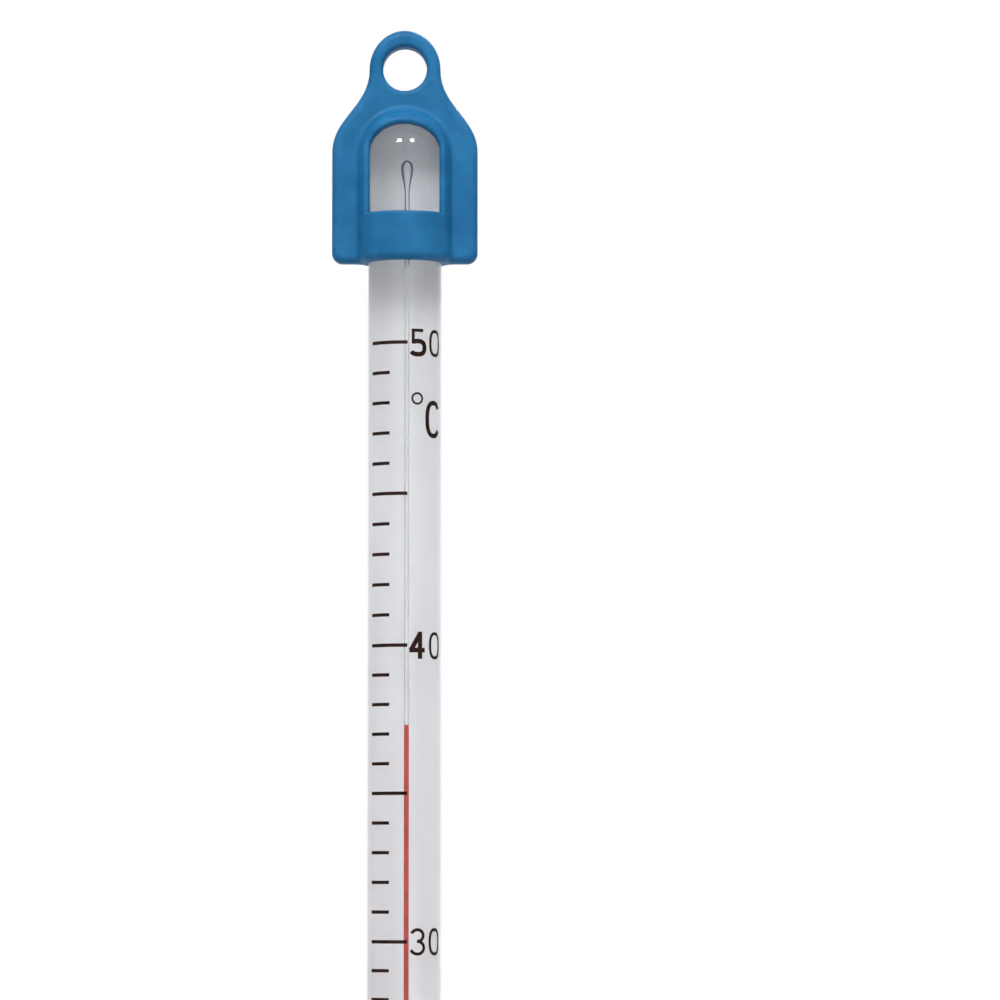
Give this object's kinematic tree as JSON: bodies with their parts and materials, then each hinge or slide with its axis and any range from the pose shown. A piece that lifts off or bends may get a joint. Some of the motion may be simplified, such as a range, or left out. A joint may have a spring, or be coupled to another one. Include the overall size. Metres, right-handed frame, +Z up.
{
  "type": "glass thermometer",
  "caption": "Spirit-filled solid-stem glass thermometer with a red column, a white-backed stem, a fired scale and a soft plastic hanging cap.",
  "frame": {"origin": "centre of the cap's hanging hole", "axes": "+Z up along the stem; the scale faces -Y; the numerals are on the +X side of the marks"},
  "size_m": [0.0138, 0.0092, 0.2686],
  "materials": {
    "blue_cap": "soft moulded plastic, matte blue",
    "clear_glass": "clear drawn glass, fire polished",
    "white_enamel": "opaque white enamel glass",
    "red_spirit": "dyed red spirit",
    "brown_ink": "fired dark brown ink"
  },
  "bodies": {
    "cap": {"hanging_cap": "blue_cap"},
    "glass": {"glass_stem": "clear_glass", "glass_bulb": "clear_glass", "enamel_strip": "white_enamel", "bulb_spirit": "red_spirit", "spirit_column": "red_spirit", "one_degree_marks": "brown_ink", "five_degree_marks": "brown_ink", "ten_degree_marks": "brown_ink", "numeral_50": "brown_ink", "numeral_40": "brown_ink", "numeral_30": "brown_ink", "numeral_20": "brown_ink", "numeral_10": "brown_ink", "numeral_0": "brown_ink", "numeral_minus_10": "brown_ink", "unit_symbol": "brown_ink"},
    "thread": {"column_tip": "red_spirit"}
  },
  "joints": [
    {"name": "stem_pull", "type": "slide", "parent": "cap", "child": "glass", "axis": [0, 0, -1], "range_m": [0, 0.016]},
    {"name": "column_rise", "type": "slide", "parent": "glass", "child": "thread", "axis": [0, 0, 1], "range_m": [-0.1238, 0.03628], "deforming": ["spirit_column"]}
  ]
}
